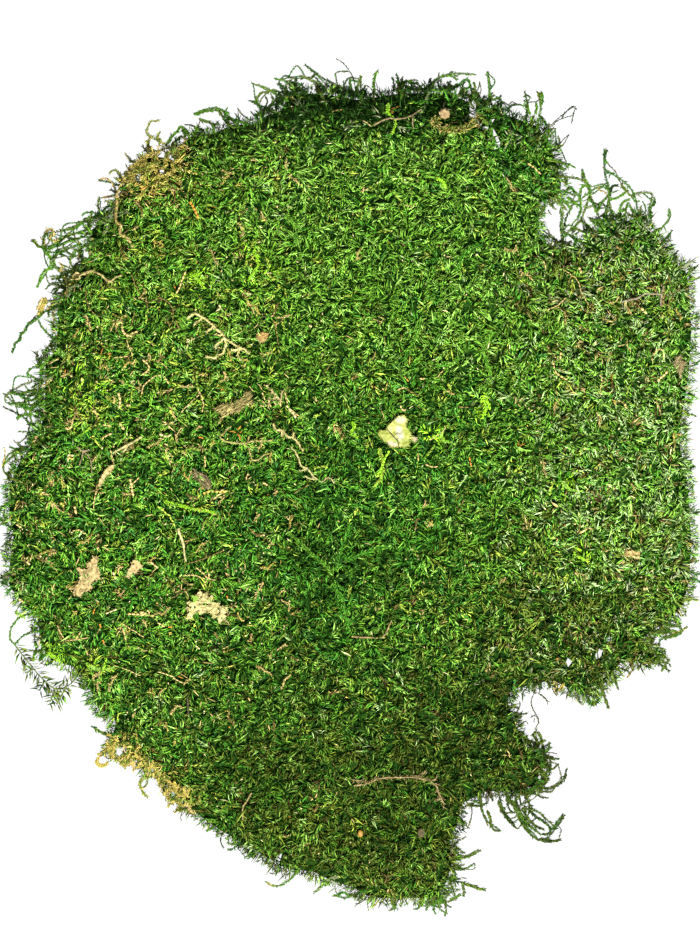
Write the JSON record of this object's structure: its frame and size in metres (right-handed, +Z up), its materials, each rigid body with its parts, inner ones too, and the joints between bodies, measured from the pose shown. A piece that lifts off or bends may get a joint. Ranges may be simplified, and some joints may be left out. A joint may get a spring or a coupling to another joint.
{
  "type": "moss clump",
  "caption": "Flat rounded clump of green feather moss with a frayed edge of loose fronds and scattered dry litter on its domed top.",
  "frame": {"origin": "on the ground under the middle of the clump", "axes": "+Z up, +Y along the clump's length, towards the edge that is thickest and darkest, +X across it"},
  "size_m": [0.314, 0.3848, 0.0254],
  "materials": {
    "moss": "matte",
    "pale_leaf": "matte",
    "tan_leaf_left": "matte",
    "tan_leaf_middle": "matte",
    "tan_leaf_lower": "matte",
    "tan_leaf_upper": "matte",
    "tan_leaf_right": "matte",
    "left_leaf": "matte",
    "brown_flake": "matte",
    "fibre_flake": "matte",
    "right_flake": "matte",
    "dry_fern_sprig": "matte",
    "bristly_twig": "matte",
    "thin_stick": "matte",
    "brown_stem": "matte",
    "thready_twig": "matte",
    "forked_twig_upper": "matte",
    "forked_twig_lower": "matte",
    "bristle_bunch": "matte",
    "left_twig": "matte",
    "far_left_twig": "matte",
    "low_twig": "matte",
    "short_stick": "matte",
    "edge_twig": "matte",
    "right_twig": "matte",
    "top_twig": "matte",
    "dry_clump": "matte",
    "clump_disc": "matte",
    "seed": "matte",
    "brown_disc": "matte"
  },
  "bodies": {
    "root": {"moss_mat": "moss", "pale_leaf": "pale_leaf", "tan_leaf_left": "tan_leaf_left", "tan_leaf_middle": "tan_leaf_middle", "tan_leaf_lower": "tan_leaf_lower", "tan_leaf_upper": "tan_leaf_upper", "tan_leaf_right": "tan_leaf_right", "left_leaf": "left_leaf", "brown_flake": "brown_flake", "fibre_flake": "fibre_flake", "right_flake": "right_flake", "dry_fern_sprig": "dry_fern_sprig", "bristly_twig": "bristly_twig", "thin_stick": "thin_stick", "brown_stem": "brown_stem", "thready_twig": "thready_twig", "forked_twig_upper": "forked_twig_upper", "forked_twig_lower": "forked_twig_lower", "bristle_bunch": "bristle_bunch", "left_twig": "left_twig", "far_left_twig": "far_left_twig", "low_twig": "low_twig", "short_stick": "short_stick", "edge_twig": "edge_twig", "right_twig": "right_twig", "top_twig": "top_twig", "dry_clump": "dry_clump", "clump_disc": "clump_disc", "seed": "seed", "brown_disc": "brown_disc"}
  },
  "joints": []
}
